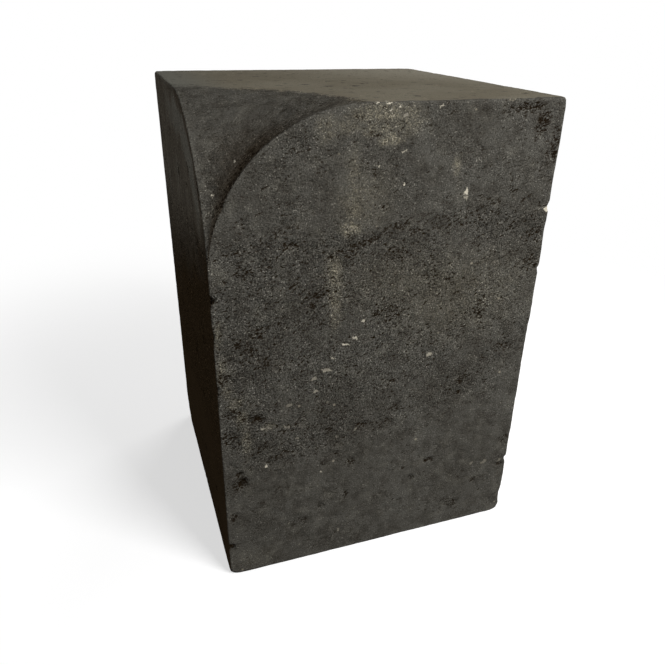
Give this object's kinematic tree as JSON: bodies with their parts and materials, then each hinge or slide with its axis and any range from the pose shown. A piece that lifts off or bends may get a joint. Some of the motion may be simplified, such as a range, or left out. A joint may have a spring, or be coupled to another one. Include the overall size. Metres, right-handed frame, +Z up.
{
  "type": "bullnose kerb internal corner block",
  "caption": "Square concrete kerb block for an internal corner, its quarter-round top edge turned about the shared upright edge of two joint faces.",
  "frame": {"origin": "middle of the base, on the ground the block stands on", "axes": "+X to the right along the front joint face, +Y towards the back, +Z up; the hollowed corner is at -X -Y"},
  "size_m": [0.138, 0.138, 0.2],
  "materials": {
    "concrete": "matte"
  },
  "bodies": {
    "root": {"kerb_block": "concrete"}
  },
  "joints": []
}
